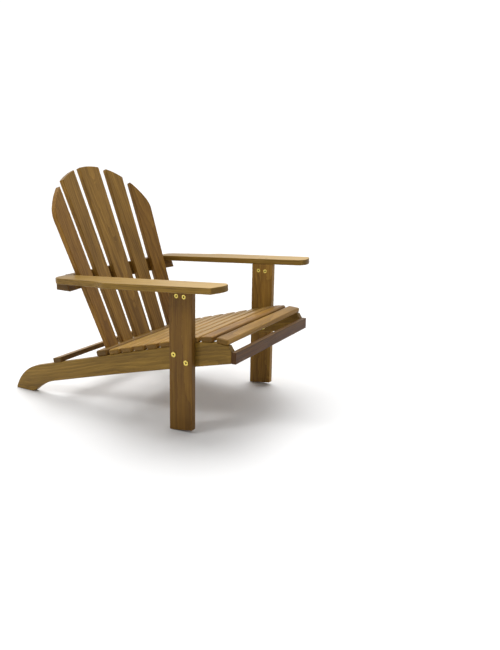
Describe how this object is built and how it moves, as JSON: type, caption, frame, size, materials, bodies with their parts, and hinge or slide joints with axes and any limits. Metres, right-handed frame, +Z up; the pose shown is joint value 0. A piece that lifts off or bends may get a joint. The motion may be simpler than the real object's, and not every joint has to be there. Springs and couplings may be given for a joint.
{
  "type": "garden chair",
  "caption": "Low slatted hardwood garden chair with a reclined fanned back under one arch, broad flat arms, long curved side rails and brass bolts.",
  "frame": {"origin": "on the ground, at the bottom centre of the bounding box: midway across, and midway between the apron's front face and the heels of the rear feet", "axes": "+Z up, +Y from the front of the seat to the back, X across the chair"},
  "size_m": [0.7832, 1.022, 0.8825],
  "materials": {
    "teak": "oiled, fine open grain",
    "brass": "satin",
    "steel": "plain"
  },
  "bodies": {
    "root": {"front_leg_right": "teak", "front_leg_left": "teak", "side_rail_right": "teak", "side_rail_left": "teak", "front_apron": "teak", "seat_slat_1": "teak", "seat_slat_2": "teak", "seat_slat_3": "teak", "seat_slat_4": "teak", "seat_slat_5": "teak", "seat_slat_6": "teak", "seat_slat_7": "teak", "seat_slat_8": "teak", "seat_slat_9": "teak", "lower_back_rail": "teak", "rear_stretcher": "teak", "back_slat_outer_right": "teak", "back_slat_middle_right": "teak", "back_slat_centre": "teak", "back_slat_middle_left": "teak", "back_slat_outer_left": "teak", "arm_back_rail": "teak", "arm_right": "teak", "arm_left": "teak", "deck_screw_plugs": "teak", "arm_bolt_plugs": "teak", "apron_dowels": "teak", "leg_bolts": "brass", "leg_sleeve_nuts": "brass", "arm_barrel_nuts": "brass", "arm_bolts": "steel", "deck_screws": "steel", "back_rail_screws": "steel", "slat_foot_screws": "steel", "arm_rear_screws": "steel"}
  },
  "joints": []
}
